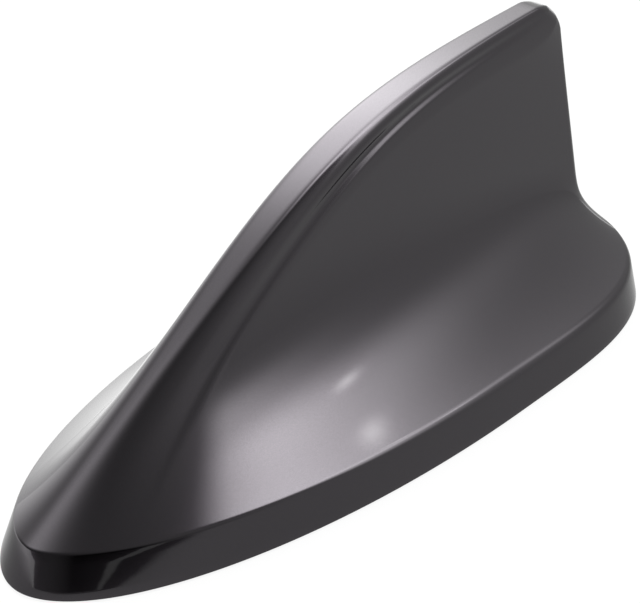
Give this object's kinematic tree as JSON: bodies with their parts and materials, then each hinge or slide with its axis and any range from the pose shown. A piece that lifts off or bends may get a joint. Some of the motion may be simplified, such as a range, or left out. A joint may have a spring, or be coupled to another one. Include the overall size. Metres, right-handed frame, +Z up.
{
  "type": "antenna cover",
  "caption": "Shark-fin shaped roof antenna cover: a glossy one-piece moulded shell, hollow and open underneath, with a skirt band, flared deck, tapering fin and inner screw bosses.",
  "frame": {"origin": "middle of the rim plane, the flat underside that lies on the roof", "axes": "+X from the nose to the tail, +Y across, +Z up from the roof"},
  "size_m": [0.165, 0.0654, 0.0627],
  "materials": {
    "gloss_paint": "near-black paint under glossy clear coat, on a moulded plastic shell"
  },
  "bodies": {
    "root": {"fin_shell": "gloss_paint"}
  },
  "joints": []
}
